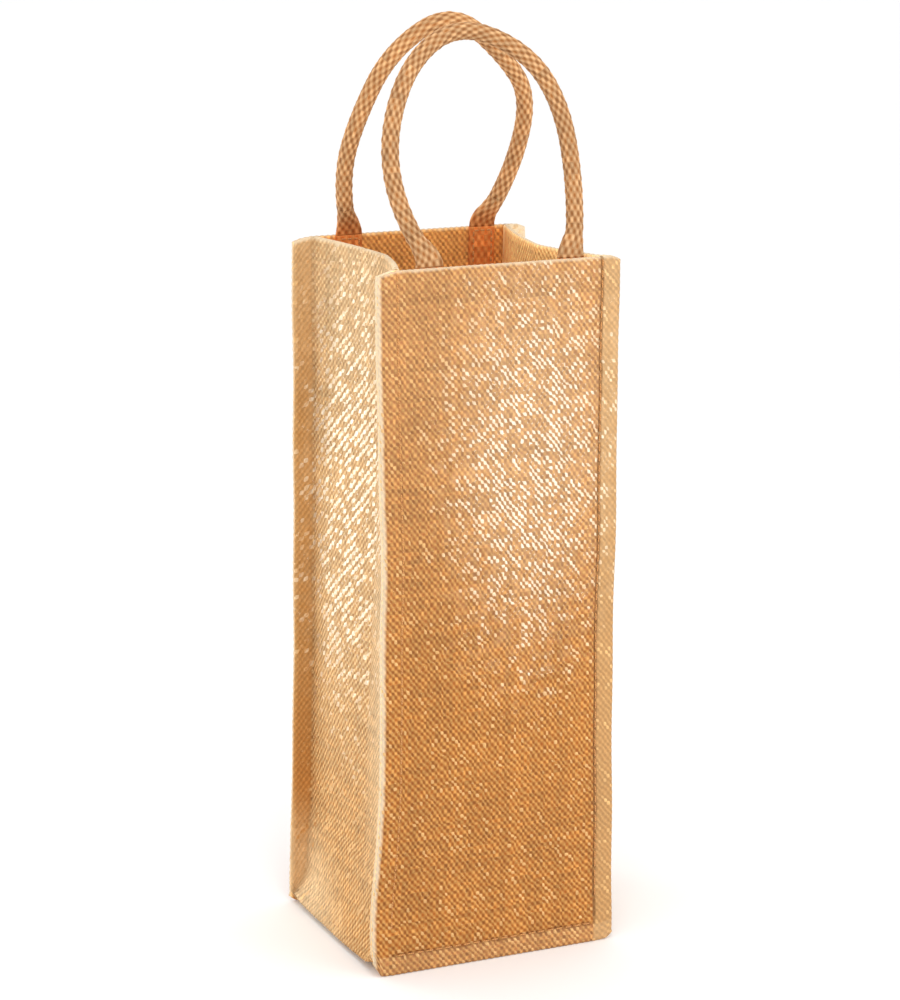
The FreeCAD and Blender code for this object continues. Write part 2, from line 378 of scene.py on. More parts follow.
def calm(place, margin):
    """1 over most of the cloth and less in its far seam allowance, where the weave is pressed flat."""
    across = place[..., 0]
    return 0.4 + 0.6 * smooth(margin - 0.8, margin + 0.4, across.max() - across)


def stray(yarns, along, rng):
    """How far each yarn is from its even place, from -1 to 1, on (yarn, place along it)."""
    spots = np.arange(int(along.max() / STRAY_RUN) + 3)
    table = rng.uniform(-1, 1, (int(yarns.max()) + 2, len(spots)))
    rows = np.array([np.interp(along / STRAY_RUN, spots, row) for row in table])
    low = np.floor(yarns).astype(int)
    share = (yarns - low)[:, None]
    return rows[low] * (1 - share) + rows[low + 1] * share


def wander(grid, place, rng):
    """Moves the yarns a little over the cloth's surface. The cloth's edges stay."""
    across, along = place[:, 0, 0], place[0, :, 1]
    side_way = unit(np.gradient(grid, axis=0))
    long_way = unit(np.gradient(grid, axis=1))
    side_edge = np.minimum(across, across.max() - across)
    end_edge = np.minimum(along, along.max() - along)
    edge = np.minimum(side_edge[:, None], end_edge[None])
    free = (STRAY * smooth(0, 5, edge))[..., None]
    upright = stray(across, along, rng)[..., None]
    level = stray(along, across, rng).T[..., None]
    return grid + free * (YARN_ACROSS * upright * side_way + YARN_ALONG * level * long_way)


def normals_of(grid, toward):
    """Unit normals of a grid of points, each on the side that the given vectors point to."""
    across, along = np.gradient(grid, axis=0), np.gradient(grid, axis=1)
    normal = unit(np.cross(across, along))
    side = np.sign(np.sum(normal * toward, axis=-1, keepdims=True))
    return normal * side


# ---- panels

def panel_place(side, across, up, depth):
    """Points of a panel: across from -1 to 1, up from 0 to 1, and depth in from its outer face."""
    z = CLOTH + up * (HEIGHT - DOUBLE)
    x = across * (half_width(z) - CLOTH)
    seam = seam_x(z)
    inside = np.clip(np.abs(x) / seam, 0, 1)
    puff = 0.9 * (1 - inside ** 2) * np.sin(math.pi * up) ** 0.5
    side_line = np.exp(-((np.abs(x) - seam) / GROOVE_WIDTH) ** 2) * smooth(SEAM - 2, SEAM + 2, z)
    foot_line = np.exp(-((z - SEAM) / GROOVE_WIDTH) ** 2) * (np.abs(x) < seam + 1)
    tuck = 1 + 0.25 * np.cos(2 * math.pi * z / STITCH_PITCH)
    groove = GROOVE * np.maximum(side_line * tuck * np.where(x < 0, LEFT_SEAM_PULL, 1.0), foot_line)
    flange = 0.35 * smooth(0.5, 2.5, np.abs(x) - seam)
    y = side * (half_depth(z) + puff - groove - flange - depth)
    return settle(np.stack(np.broadcast_arrays(x, y, z), axis=-1))


def panel_thickness(across, up):
    """Two layers at the hem, at the foot and outside the seams, and one between."""
    z = CLOTH + up * (HEIGHT - DOUBLE)
    x = np.abs(across) * half_width(z)
    two = np.maximum(smooth(-1.2, 0.2, x - seam_x(z)), smooth(-0.8, 0.8, z - (HEIGHT - HEM)))
    two = np.maximum(two, 1 - smooth(-0.8, 0.8, z - SEAM))
    return CLOTH + CLOTH * two


def panel_share(place):
    """How far across, from -1 to 1, and how far up, from 0 to 1, a place on a panel is."""
    return 2 * place[..., 0] / PANEL_ACROSS - 1, place[..., 1] / PANEL_UP


def panel(name, side, material, rng):
    outer_place = places(2 * PANEL_ACROSS + 1, 2 * PANEL_UP + 1, 0.5, 0.5)
    inner_place = places(PANEL_ACROSS + 1, PANEL_UP + 1, 1.0, 1.0)
    outer = wander(panel_place(side, *panel_share(outer_place), 0.0), outer_place, rng)
    relief = WEAVE_RELIEF * calm(outer_place, SEAM / YARN_ACROSS)
    outer[..., 1] += side * relief * weave(outer_place, SLANT) * uneven(outer_place, rng)
    across, up = panel_share(inner_place)
    inner = panel_place(side, across, up, panel_thickness(across, up))
    inner[..., 1] -= side * 0.5 * WEAVE_RELIEF * weave(inner_place, SLANT)
    skin = Skin()
    slab(skin, outer, inner, outer_place, inner_place)
    return skin.make(name, material)


# ---- the strip: side, base, side

def side_knots(side, z_outer, z_inner):
    """The five corners of the strip's cross-section at one height, on its outer and its inner face."""
    def corners(z, inset, layer):
        wall = wall_x(z)
        edge, reach = max(half_width(z) - CLOTH, wall + 0.3), half_depth(z) - inset
        crease = np.interp(z, *zip(*CREASE_X))
        line = [(edge, -reach), (wall - layer, -reach), (crease - layer, CREASE_Y),
                (wall - layer, reach), (edge, reach)]
        return [(side * x, y, z) for x, y in line]

    layers = CLOTH * (1 + float(smooth(HEIGHT - HEM - 1, HEIGHT - HEM + 1, z_outer)))
    return corners(z_outer, FLANGE, 0.0), corners(z_inner, DOUBLE, layers)


def base_knots(x):
    """The same corners across the base: its front and back edges turn down along the panels."""
    face = half_depth(SEAM)
    joint, back = face - DOUBLE, face - FLANGE
    wall = wall_x(SEAM)
    low = CLOTH + (SEAM - 1.0 - CLOTH) * float(smooth(wall - SEAM, wall, abs(x)))
    near = x * (wall_x(SEAM + CLOTH) - CLOTH) / wall
    outer = [(x, -back, low), (x, -back, SEAM), (x, CREASE_Y, SEAM), (x, back, SEAM), (x, back, low)]
    top = SEAM + CLOTH
    inner = [(near, -joint, low), (near, -joint, top), (near, CREASE_Y, top), (near, joint, top),
             (near, joint, low)]
    return outer, inner


def strip_knots():
    """Corners for every row: down the left side, across the base, up the right side."""
    wall = wall_x(SEAM)
    high = HEIGHT - CLOTH
    heights = np.linspace(high, SEAM, SIDE_ROWS + 1)
    inner_heights = np.linspace(high, SEAM + CLOTH, SIDE_ROWS + 1)
    rows = [side_knots(-1, z, zi) for z, zi in zip(heights, inner_heights)]
    rows += [base_knots(x) for x in np.linspace(-wall, wall, BASE_ROWS + 1)[1:-1]]
    rows += [side_knots(1, z, zi) for z, zi in zip(heights[::-1], inner_heights[::-1])]
    return np.array([r[0] for r in rows]), np.array([r[1] for r in rows])


def across_strip(knots, columns):
    """Points between the corners, on (column, row)."""
    stops = np.linspace(0, STRIP_KNOTS[-1], columns)
    share = np.array([np.interp(stops, STRIP_KNOTS, corner) for corner in np.eye(len(STRIP_KNOTS))]).T
    return np.einsum("ck,rkd->crd", share, knots)


def bow(grid):
    """The folded sides give: each half bows a little, most at half height and at the mouth."""
    stops = np.linspace(0, STRIP_KNOTS[-1], len(grid))
    front = np.clip((stops - STRIP_KNOTS[1]) / FRONT_YARNS, 0, 1)
    back = np.clip((stops - STRIP_KNOTS[2]) / BACK_YARNS, 0, 1)
    shape = 1.2 * np.sin(math.pi * front) + 2.2 * np.sin(math.pi * back)
    z = grid[..., 2]
    amount = shape[:, None] * smooth(40, 120, z)
    grid[..., 0] -= np.sign(grid[..., 0]) * amount * np.cos(z / 55.0 + 0.4)
    return grid


def sag(grid):
    """The base hangs between its seams, and the fold along each side goes down with it."""
    x, y, z = np.abs(grid[..., 0]), grid[..., 1], grid[..., 2]
    drop = np.interp(y, *zip(*SAG))
    held = np.clip(np.abs(y) / 54, 0, 1) ** 4 * (1 - smooth(25, 58, x))
    share = np.clip(z / SEAM, 0, 1) * (1 - smooth(SEAM, 46, z))
    grid[..., 2] -= drop * share * (1 - held)
    return grid


def strip_grids():
    """The strip's outer face at two steps a yarn across, and its inner face at one, before any weave."""
    outer_knots, inner_knots = strip_knots()
    fine = across_strip(outer_knots, 2 * STRIP_KNOTS[-1] + 1)
    coarse = across_strip(inner_knots, STRIP_KNOTS[-1] + 1)[:, ::2]
    fine = soften(soften(fine, 0, 2), 1, 1)
    coarse = soften(coarse, 0, 1)
    return settle(sag(bow(fine))), settle(sag(bow(coarse)))


def strip(name, outer, inner, material, rng):
    columns, rows = outer.shape[:2]
    outer_place = places(columns, rows, 0.5, 1.0)
    inner_place = places(inner.shape[0], inner.shape[1], 1.0, 2.0)
    outward = outer[::2, ::2] - inner
    outward = np.repeat(np.repeat(outward, 2, axis=0)[:columns], 2, axis=1)[:, :rows]
    normal = normals_of(outer, outward)
    outer = wander(outer, outer_place, rng)
    relief = WEAVE_RELIEF * weave(outer_place, -SLANT) * uneven(outer_place, rng)
    relief *= calm(outer_place, MARGIN_YARNS)
    skin = Skin()
    slab(skin, outer + normal * relief[..., None], inner, outer_place, inner_place)
    return skin.make(name, material)


# ---- lining film

def thin_sheet(name, near, far, place, material):
    """The film: a closed sheet between two grids that are a hair apart."""
    skin = Skin()
    near_ids, far_ids = skin.add(near), skin.add(far)
    skin.grid(near_ids, place)
    skin.grid(far_ids, place)
    edge = np.stack([closed(rim_of(near_ids)), closed(rim_of(far_ids))])
    edge_place = closed(rim_of(place))
    skin.grid(edge, np.stack([edge_place, edge_place]))
    return skin.make(name, material)


def panel_film(name, side, material):
    """The film on a panel's inner face, from the base up to the hem and between the seams."""
    place = places(PANEL_ACROSS + 1, PANEL_UP + 1, 1.0, 1.0)
    low = round((SEAM + CLOTH) / YARN_ALONG) + 1
    high = round((HEIGHT - HEM) / YARN_ALONG) - 1
    edge = round(SEAM / YARN_ACROSS) + 2
    place = place[edge:-edge, low:high]
    near, far = (panel_place(side, *panel_share(place), depth)
                 for depth in (CLOTH + FILM_GAP, CLOTH + FILM_GAP + FILM))
    return thin_sheet(name, near, far, place, material)


def strip_film(name, inner, material):
    """The film on the strip's inner face, short of its margins and of the hems."""
    place = places(inner.shape[0], inner.shape[1], 1.0, 2.0)
    normal = normals_of(inner, -inner + np.array([0.0, 0.0, HEIGHT / 2]))
    skip = round(HEM / (2 * YARN_ALONG)) + 1
    edge = MARGIN_YARNS + 2
    near, far, place = (grid[edge:-edge, skip:-skip] for grid in
                        (inner + normal * FILM_GAP, inner + normal * (FILM_GAP + FILM), place))
    return thin_sheet(name, near, far, place, material)


# ---- stitches

def stitch(skin, centre, along, outward, length):
    """One stitch: a rounded bar of thread whose ends dive into the cloth."""
    rings, sides = 7, 8
    along, outward = unit(np.asarray(along, float)), unit(np.asarray(outward, float))
    across = unit(np.cross(outward, along))
    outward = np.cross(along, across)
    t = np.linspace(-1, 1, rings)
    angle = np.arange(sides) * 2 * math.pi / sides
    width = THREAD_R * np.sqrt(np.clip(1 - t ** 6, 0.02, 1))
    sink = -1.2 * THREAD_R * t ** 4
    ring = np.cos(angle)[:, None] * across + np.sin(angle)[:, None] * outward
    points = (centre + (t * length / 2)[:, None, None] * along
              + (sink + THREAD_R * 0.35)[:, None, None] * outward + width[:, None, None] * ring[None])
    skin.tube(points, places(rings, sides + 1, 0.4, 0.12), [points[end].mean(axis=0) for end in (0, -1)])


def side_seam(name, panel_side, side, material, rng):
    """The stitches down one side seam, on the panel's outer face."""
    skin = Skin()
    count = int((HEIGHT - 2 * SEAM) / STITCH_PITCH)
    depth = GROOVE * LEFT_SEAM_PULL if side < 0 else GROOVE - STITCH_RISE
    for i in range(count):
        z = HEIGHT - STITCH_PITCH * (i + 0.7) + rng.uniform(-0.3, 0.3)
        ends = settle(np.array([[side * seam_x(h), panel_side * (half_depth(h) - depth), h]
                                for h in (z - 1, z, z + 1)]))
        tilt = np.array([rng.uniform(-0.06, 0.06), 0.0, 0.0])
        stitch(skin, ends[1], unit(ends[2] - ends[0]) + tilt, (0, panel_side, 0), STITCH_LENGTH)
    return skin.make(name, material)


def foot_seam(name, panel_side, material, rng):
    skin = Skin()
    half = seam_x(SEAM) - STITCH_PITCH
    count = int(2 * half / STITCH_PITCH)
    y = panel_side * (half_depth(SEAM) - GROOVE + STITCH_RISE)
    for i in range(count + 1):
        centre = settle(np.array([-half + 2 * half * i / count, y, SEAM]))
        tilt = np.array([1.0, 0.0, rng.uniform(-0.06, 0.06)])
        stitch(skin, centre, tilt, (0, panel_side, 0), STITCH_LENGTH)
    return skin.make(name, material)


# ---- handles

def tab_y(z):
    """Distance from the middle plane to the middle of a tab."""
    return half_depth(z) - DOUBLE - TAB_GAP - TAB_THICK / 2


def rope_line(name, route, side, lean):
    """Points along a smooth line through space, from one bend of a handle to the other, in millimetres."""
    angle = math.radians(lean)
    curve = bpy.data.curves.new(name, "CURVE")
    curve.dimensions = "3D"
    curve.resolution_u = 40
    spline = curve.splines.new("NURBS")
    spline.points.add(len(route) - 1)
    for point, (x, up) in zip(spline.points, route):
        y = side * (HINGE_Y - up * math.sin(angle))
        point.co = (x, y, HINGE_Z + up * math.cos(angle), 1)
    spline.order_u = 3
    spline.use_endpoint_u = True
    holder = bpy.data.objects.new(name, curve)
    mesh = bpy.data.meshes.new_from_object(holder)
    points = np.array([v.co for v in mesh.vertices])
    bpy.data.meshes.remove(mesh)
    bpy.data.objects.remove(holder)
    bpy.data.curves.remove(curve)
    return points


def bend_line(start, start_way, end, end_way, steps):
    """A smooth line between two points that leaves and arrives in the ways given."""
    t = np.linspace(0, 1, steps)[:, None]
    reach = np.linalg.norm(end - start)
    return ((2 * t ** 3 - 3 * t ** 2 + 1) * start + (t ** 3 - 2 * t ** 2 + t) * reach * start_way
            + (3 * t ** 2 - 2 * t ** 3) * end + (t ** 3 - t ** 2) * reach * end_way)


def even_steps(line, step):
    """The same line at even steps, and each point's distance along it."""
    gaps = np.linalg.norm(np.diff(line, axis=0), axis=1)
    far = np.concatenate([[0], np.cumsum(gaps)])
    stops = np.linspace(0, far[-1], int(round(far[-1] / step)) + 1)
    return np.stack([np.interp(stops, far, line[:, k]) for k in range(3)], axis=1), stops


def handle_route(route, side, tabs, lean, name):
    """The cover's middle line, from one tab's foot to the other's, and where its parts end along it."""
    loop = rope_line(name, route, side, lean)
    lines = []
    for x, start, way in ((tabs[0], loop[0], loop[1] - loop[0]), (tabs[1], loop[-1], loop[-2] - loop[-1])):
        heights = np.linspace(HEIGHT - TAB_LENGTH, HEIGHT, 40)
        sewn = np.stack([np.full_like(heights, x), side * tab_y(heights), heights], axis=1)
        upward = unit(sewn[-1] - sewn[-2])
        lines.append((sewn, bend_line(sewn[-1], upward, start, unit(way), 30)))
    (tab_a, neck_a), (tab_b, neck_b) = lines
    whole = np.concatenate([tab_a, neck_a[1:], loop[1:], neck_b[-2::-1], tab_b[-2::-1]])
    lengths = [np.linalg.norm(np.diff(part, axis=0), axis=1).sum()
               for part in (tab_a, neck_a, loop, neck_b, tab_b)]
    return whole, np.cumsum(lengths)


def even_ring(wide, thick, power, columns):
    """Points round a squared-off oval at even steps, and the outward way at each."""
    angle = np.linspace(0, 2 * math.pi, 8 * columns + 1)
    c, s = np.cos(angle), np.sin(angle)
    x = np.sign(c) * np.abs(c) ** power * wide
    y = np.sign(s) * np.abs(s) ** power * thick
    far = np.concatenate([[0], np.cumsum(np.hypot(np.diff(x), np.diff(y)))])
    stops = np.linspace(0, far[-1], columns, endpoint=False)
    ring = np.stack([np.interp(stops, far, x), np.interp(stops, far, y)], axis=1)
    way = np.roll(ring, -1, axis=0) - np.roll(ring, 1, axis=0)
    return ring, unit(np.stack([way[:, 1], -way[:, 0]], axis=1))


def handle(name, side, route, tabs, lean, materials, rng):
    """A handle's cover as one woven tube, flat at the tabs, cut into tabs, necks and the round rope."""
    whole, marks = handle_route(route, side, tabs, lean, name)
    columns = ROPE_STEPS * ROPE_COLUMNS
    line, stops = even_steps(whole, ROPE_ROW / ROPE_STEPS)
    way = unit(np.gradient(line, axis=0))
    angle = math.radians(lean)
    plane = np.array([0.0, -math.cos(angle), -side * math.sin(angle)])
    flat = 1 - (smooth(marks[0] - 1, marks[1] - 1, stops) - smooth(marks[2] + 1, marks[3] + 1, stops))
    forward = np.array([0.0, -1.0, 0.0])
    facing = unit(flat[:, None] * forward + (1 - flat)[:, None] * plane)
    across = unit(np.cross(facing, way))
    facing = np.cross(way, across)
    wide = ROPE_R + (TAB_WIDTH / 2 - ROPE_R) * flat
    thick = ROPE_R + (TAB_THICK / 2 - ROPE_R) * flat
    rings = [even_ring(w, t, 1 - 0.55 * f, columns) for w, t, f in zip(wide, thick, flat)]
    ring, outward = np.array([r[0] for r in rings]), np.array([r[1] for r in rings])
    place = places(len(stops), columns + 1, 1 / ROPE_STEPS, 1 / ROPE_STEPS)[..., ::-1]
    relief = ROPE_RELIEF * weave(place[:, :-1], ROPE_SLANT) * (1 - 0.62 * flat[:, None])
    ring = ring + outward * (relief * uneven(place[:, :-1], rng))[..., None]
    points = line[:, None] + across[:, None] * ring[..., :1] + facing[:, None] * ring[..., 1:]
    cuts = [0] + [int(round(m / stops[-1] * (len(stops) - 1))) for m in marks[:-1]] + [len(stops) - 1]
    names = ["left_tab", "left_neck", "cover", "right_neck", "right_tab"]
    pieces = {}
    for part, low, high in zip(names, cuts, cuts[1:]):
        skin = Skin()
        skin.tube(points[low:high + 1], place[low:high + 1], (line[low], line[high]))
        label = f"{name}_handle_{part}"
        body = "bag" if "tab" in part else f"{name}_handle" if part == "cover" else None
        piece = skin.make(f"{label}_woven", materials["tab" if "tab" in part else "rope"], body)
        stands_for(label)
        pieces[part] = piece
    for end, sign, foot, top in (("left_neck", 1, cuts[1], cuts[2]), ("right_neck", -1, cuts[4], cuts[3])):
        bend_neck(pieces[end])


def bend_neck(piece):
    """Bakes a neck's placement into its mesh."""
    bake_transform(piece)


def tab_stitches(name, side, x, material, rng):
    """A rectangle of stitches on a tab, a little in from its edges."""
    half = TAB_WIDTH / 2 - TAB_STITCH_INSET
    top, foot = HEIGHT - TAB_STITCH_INSET, HEIGHT - TAB_LENGTH + TAB_STITCH_INSET
    rows, columns = int((top - foot) / TAB_STITCH_PITCH), int(2 * half / TAB_STITCH_PITCH)

    def point(px, z):
        return np.array([px, side * (tab_y(z) - TAB_THICK / 2 + 0.1), z])

    skin = Skin()
    for i in range(rows):
        z = foot + (top - foot) * (i + 0.5) / rows
        for edge in (-half, half):
            along = np.array([rng.uniform(-0.08, 0.08), 0.0, 1.0])
            stitch(skin, point(x + edge, z), along, (0, -side, 0), TAB_STITCH_LENGTH)
    for i in range(columns):
        px = x - half + 2 * half * (i + 0.5) / columns
        for z in (top, foot):
            along = (1, 0, rng.uniform(-0.08, 0.08))
            stitch(skin, point(px, z), along, (0, -side, 0), TAB_STITCH_LENGTH)
    return skin.make(name, material)


# ---- materials

class Nodes:
    """A short way to write a material's node tree."""

    def __init__(self, name):
        self.material = bpy.data.materials.new(name)
        self.material.use_nodes = True
        self.tree = self.material.node_tree
        self.shader = self.tree.nodes["Principled BSDF"]

    def add(self, kind, inputs=(), **settings):
        node = self.tree.nodes.new("ShaderNode" + kind)
        for key, value in settings.items():
            setattr(node, key, value)
        for key, value in dict(inputs).items():
            self.put(node.inputs[key], value)
        return node

    def put(self, socket, value):
        if isinstance(value, bpy.types.NodeSocket):
            self.tree.links.new(value, socket)
        else:
            socket.default_value = value

    def yarns(self):
        """The place on the cloth, counted in yarns."""
        parts = self.add("SeparateXYZ", {0: self.add("UVMap", uv_map="yarns").outputs[0]})
        return parts.outputs[0], parts.outputs[1]

    def math(self, operation, *values, clamp=False):
        return self.add("Math", dict(enumerate(values)), operation=operation, use_clamp=clamp).outputs[0]

    def times(self, first, *others):
        for value in others:
            first = self.math("MULTIPLY", first, value)
        return first

    def most(self, first, *others):
        for value in others:
            first = self.math("MAXIMUM", first, value)
        return first

    def plus(self, a, b):
        return self.math("ADD", a, b)

    def minus(self, a, b):
        return self.math("SUBTRACT", a, b)

    def ramp(self, value, factor, offset, clamp=False):
        """The value times a factor, plus an offset."""
        return self.math("MULTIPLY_ADD", value, factor, offset, clamp=clamp)

    def vary(self, value, amount):
        """A factor about 1 that varies by the amount, from a number from 0 to 1."""
        return self.ramp(value, amount, 1 - amount / 2)

    def less(self, a, b):
        return self.math("LESS_THAN", a, b)

    def vector(self, operation, *values):
        """Vector arithmetic. The node takes the number that it scales by in its fourth socket."""
        node = self.add("VectorMath", operation=operation)
        for k, value in enumerate(values):
            self.put(node.inputs[3 if operation == "SCALE" and k == 1 else k], value)
        return node.outputs[0]

    def join(self, x, y, z=0.0):
        return self.add("CombineXYZ", {0: x, 1: y, 2: z}).outputs[0]

    def random(self, vector):
        node = self.add("TexWhiteNoise", {"Vector": vector}, noise_dimensions="3D")
        return node.outputs["Value"], node.outputs["Color"]

    def noise(self, vector, scale, detail=2.0, roughness=0.5):
        inputs = {"Vector": vector, "Scale": scale, "Detail": detail, "Roughness": roughness}
        return self.add("TexNoise", inputs).outputs[0]

    def mix(self, share, a, b):
        node = self.add("Mix", data_type="RGBA")
        for key, value in ((0, share), (6, a), (7, b)):
            self.put(node.inputs[key], value)
        return node.outputs[2]

    def fade(self, value, low, high):
        """0 below low, 1 above high, and a soft step between."""
        return self.add("MapRange", {0: value, 1: low, 2: high}, interpolation_type="SMOOTHSTEP").outputs[0]

    def fall(self, value, low, high):
        return self.opposite(self.fade(value, low, high))

    def near(self, value, middle, low, high):
        """1 within low of the middle, falling to 0 at high."""
        return self.fall(self.math("ABSOLUTE", self.minus(value, float(middle))), low, high)

    def opposite(self, share):
        return self.minus(1.0, share)

    def scale(self, colour, factor):
        """A colour times a number."""
        if isinstance(colour, tuple):
            colour = colour[:3]
        return self.vector("SCALE", colour, factor)

    def tint(self, share, colour, tint):
        return self.mix(share, colour, self.vector("MULTIPLY", colour, tint))

    def paint(self, share, colour, other, factor):
        """Mixes in another colour, given in screen values and times a factor."""
        return self.mix(share, colour, self.scale(linear(*other), factor))

    def finish(self, **sockets):
        for key, value in sockets.items():
            self.put(self.shader.inputs[key.replace("_", " ")], value)
        return self.material


def linear(red, green, blue):
    """A colour given in screen values from 0 to 255."""
    def channel(c):
        c /= 255
        return c / 12.92 if c <= 0.04045 else ((c + 0.055) / 1.055) ** 2.4
    return (channel(red), channel(green), channel(blue), 1.0)


def patch_of(n, u, v, oval, ragged):
    """A soft-edged oval on the cloth, with a ragged outline."""
    middle, reach = oval
    across = n.math("DIVIDE", n.minus(u, middle[0]), reach[0])
    along = n.math("DIVIDE", n.minus(v, middle[1]), reach[1])
    far = n.math("SQRT", n.plus(n.times(across, across), n.times(along, along)))
    return n.fall(n.plus(far, n.ramp(ragged, 1.2, -0.6)), 0.25, 1.25)


def inner_face(n, u):
    """Whether a place is on an inner face, and its yarn without the shift that marks such faces."""
    inside = n.math("GREATER_THAN", u, INSIDE / 2)
    return inside, n.minus(u, n.times(inside, INSIDE))


def panel_zones(n, u, v, ragged):
    """Parts of a panel that look different: the painted glint patch, the seam allowance, painted highlights
    on its edges, painted shade in the seam grooves, painted light, and the inner face.
    """
    inside, u = inner_face(n, u)
    far_side = n.minus(float(PANEL_ACROSS), u)
    seam = SEAM / YARN_ACROSS
    left_edge = n.fall(u, -0.6, 0.9)
    top_edge = n.fall(n.minus(float(PANEL_UP), v), -0.7, 0.4)
    margin = n.fall(far_side, seam - 0.7, seam + 0.5)
    foot = n.fall(v, FOOT_LINE - 0.6, FOOT_LINE + 0.4)
    # painted shade in the seam grooves, along the side seam and the foot seam
    side_line = n.times(n.near(far_side, SEAM_LINE, 0.25, 0.95), n.fade(v, FOOT_LINE, FOOT_LINE + 1.0))
    foot_line = n.times(n.near(v, FOOT_LINE, 0.15, 0.8), n.fade(far_side, SEAM_LINE - 1.0, SEAM_LINE),
                        n.fade(u, SEAM_LINE - 1.0, SEAM_LINE))
    return {"inside": inside,
            "margin": margin,
            "groove": n.most(side_line, n.times(foot_line, 0.75)),
            "low_shade": 0.0,
            "fleck": n.most(n.times(margin, 0.6), foot),
            # painted highlight along the left edge and the folded top edge
            "edge_highlight": n.most(left_edge, n.times(top_edge, 0.75)),
            # painted light: paler towards the mouth, and paler below the foot seam
            "pale_light": n.plus(n.times(n.fade(v, 60.0, 180.0), 0.2), n.times(foot, 0.18)),
            # painted glint patch
            "glow": patch_of(n, u, v, PANEL_GLOW, ragged)}


def strip_zones(n, u, v, ragged):
    """The same for the strip. Its front half lies at a low angle to the eye and is painted paler there, as
    painted sheen; its upper part and its back lower facet are painted paler too, as painted light.
    """
    inside, u = inner_face(n, u)
    far_side = n.minus(float(STRIP_KNOTS[-1]), u)
    rows = float(2 * SIDE_ROWS + BASE_ROWS)
    down = n.math("MINIMUM", v, n.minus(rows, v))
    on_right = n.math("GREATER_THAN", v, rows / 2)
    seam_side = n.plus(n.times(on_right, far_side), n.times(n.opposite(on_right), u))
    # Painted highlights: the folded top corner by the seam, the front edge and the top edge.
    corner = n.times(n.fall(seam_side, 8.0, 12.0), n.fall(down, 5.0, 9.0))
    edge = n.most(n.fall(u, -0.6, 0.9), n.times(n.fall(down, -0.7, 0.5), 0.8))
    # Painted light: the front half is painted paler as sheen at a low angle, the back lower facet as light on
    # a face turned up, the upper part as light from above.
    front = n.times(n.fall(u, 12.0, STRIP_KNOTS[2] + 8.0), n.fall(down, 150.0, 178.0))
    facet = n.times(n.fade(n.ramp(u, 0.5, down), 192.0, 214.0), 0.75)
    upper = n.times(n.fall(down, 0.0, 60.0), 0.45)
    margin = n.fall(far_side, MARGIN_YARNS - 1.0, MARGIN_YARNS + 0.6)
    return {"inside": inside,
            "margin": margin,
            # painted shade along the seam line on the strip
            "groove": n.times(n.near(far_side, MARGIN_YARNS, 0.3, 1.3), 0.35),
            # painted shade: darker and more orange towards the foot, except on the back lower facet
            "low_shade": n.times(n.fade(down, 110.0, 165.0), n.opposite(facet)),
            "fleck": n.times(margin, 0.3),
            "edge_highlight": n.most(edge, corner),
            "pale_light": n.most(front, facet, upper),
            # painted glint patch
            "glow": patch_of(n, u, down, STRIP_GLOW, ragged)}


def lattice(n, u, v, slant):
    """The crowns of a plain weave: each one's column and row, and the height from 0 to 1."""
    a, b = n.times(u, math.pi), n.times(v, math.pi)
    one = n.math("COSINE", n.plus(a, b))
    other = n.math("COSINE", n.minus(a, b))
    height = n.plus(n.times(one, (1 + slant) / 4), n.times(other, (1 - slant) / 4))
    return n.math("ROUND", u), n.math("ROUND", v), n.plus(height, 0.5)


def run_random(n, line, along, length, mark, seed, extra):
    """A random number for each short run of crowns on a diagonal line. Each line's runs start elsewhere."""
    shift, _ = n.random(n.join(line, mark, seed))
    run = n.math("FLOOR", n.math("DIVIDE", n.ramp(shift, 6.0, along), length))
    return n.random(n.join(line, run, seed + extra))[0]


def metal_yarn(n, u, v, slant, zone, glow, cluster, shine, glint, seed):
    """Metal yarn shows on a share of the crowns, in short runs along one diagonal and a few along the other.
    Returns how bright it is, and a way for each crown to turn."""
    column, row, height = lattice(n, n.math("DIVIDE", u, glint[0]), n.math("DIVIDE", v, glint[1]), slant)
    crown, way = n.random(n.join(column, row, seed))
    line, along = n.plus(column, row), n.minus(column, row)
    if slant < 0:
        line, along = along, line
    run = run_random(n, line, along, 5.0, 43.0, seed, 0.5)
    cross_run = run_random(n, along, line, 4.0, 47.0, seed, 0.9)
    # The metal yarn is real; its larger share in the glint patch is painted glints.
    share = n.times(n.ramp(glow, shine, 0.08), n.ramp(cluster, 2.2, -0.1),
                    n.ramp(zone["margin"], -0.55, 1.0))
    share = n.times(n.plus(share, n.times(zone["fleck"], 0.16)), n.opposite(zone["inside"]))
    in_run = n.most(n.less(run, n.times(share, 0.75)), n.less(cross_run, n.times(share, 0.45)))
    chosen = n.most(n.times(in_run, n.math("GREATER_THAN", crown, 0.2)), n.less(crown, n.times(share, 0.5)))
    return n.times(n.fade(height, 0.42, 0.62), chosen), n.vector("SUBTRACT", way, (0.5, 0.5, 0.5))


